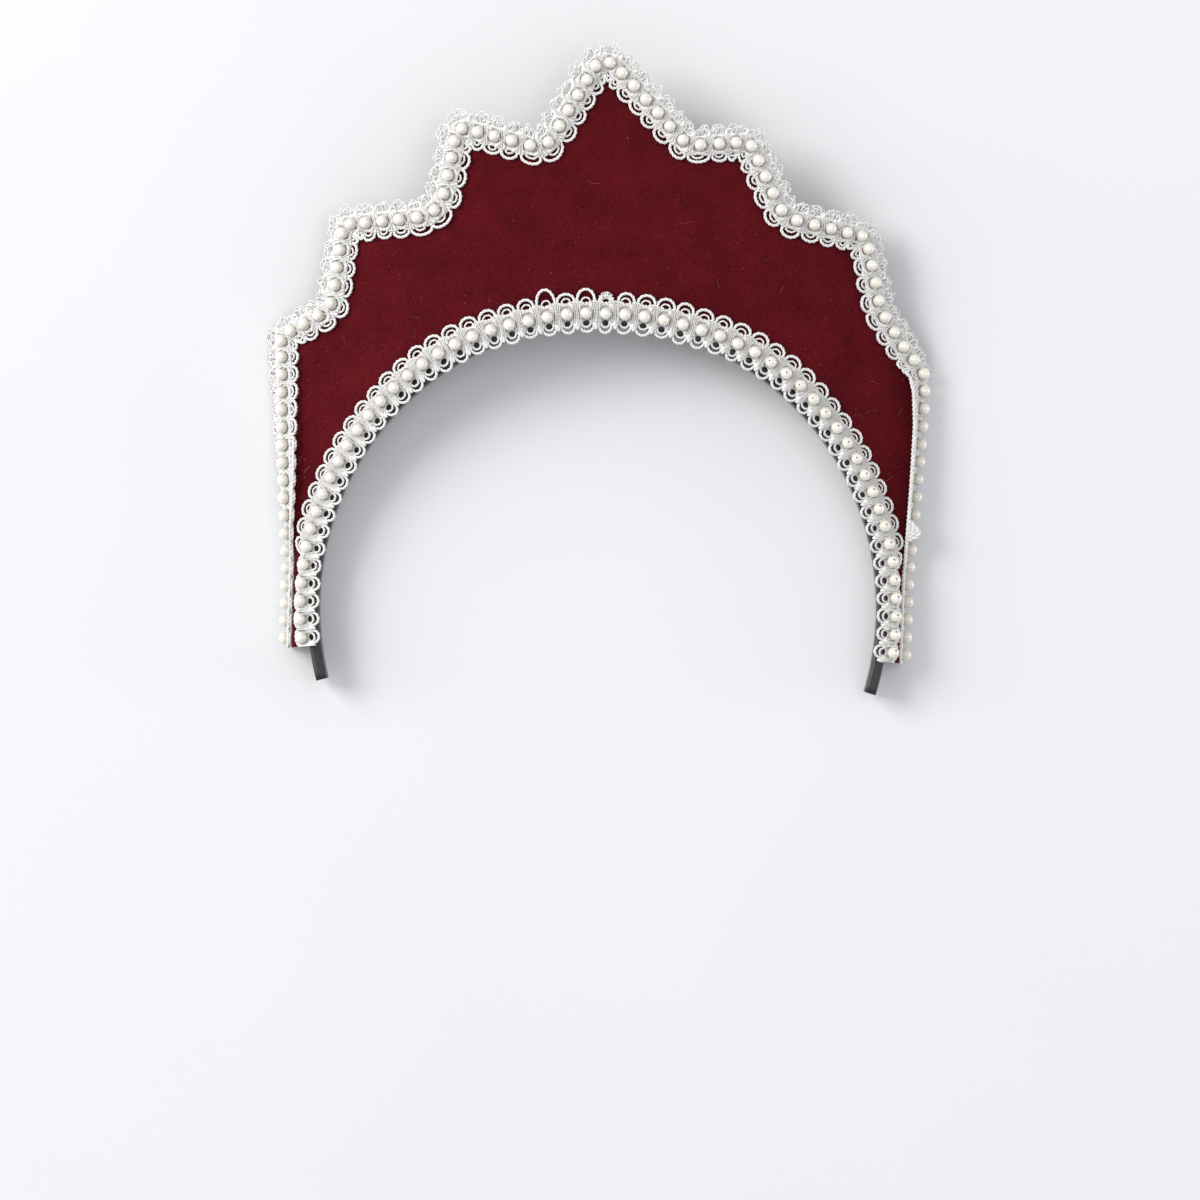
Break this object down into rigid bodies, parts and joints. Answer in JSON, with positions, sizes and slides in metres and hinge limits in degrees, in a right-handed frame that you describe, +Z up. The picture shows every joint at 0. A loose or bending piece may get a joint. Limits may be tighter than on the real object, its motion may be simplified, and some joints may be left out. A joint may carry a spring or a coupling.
{
  "type": "crown headband",
  "caption": "Stiff velvet crown headband with a pointed top edge, an open arch for the head and pearl braid along both edges.",
  "frame": {"origin": "on the surface that the crown lies on, under the middle of its outline", "axes": "+X across the width, to the right in the front view; +Y from the ends of the hair band to the apex; +Z up, out of the crown's front"},
  "size_m": [0.197, 0.1872, 0.0289],
  "materials": {
    "velvet": "burgundy short pile velvet over a stiff board",
    "band": "plain black, satin",
    "outer_braid_cord": "bright white twisted cord with ivory pearls",
    "arch_braid_cord": "bright white twisted cord with ivory pearls"
  },
  "bodies": {
    "root": {"crown_panel": "velvet", "hair_band": "band", "outer_braid": "outer_braid_cord", "arch_braid": "arch_braid_cord"}
  },
  "joints": []
}
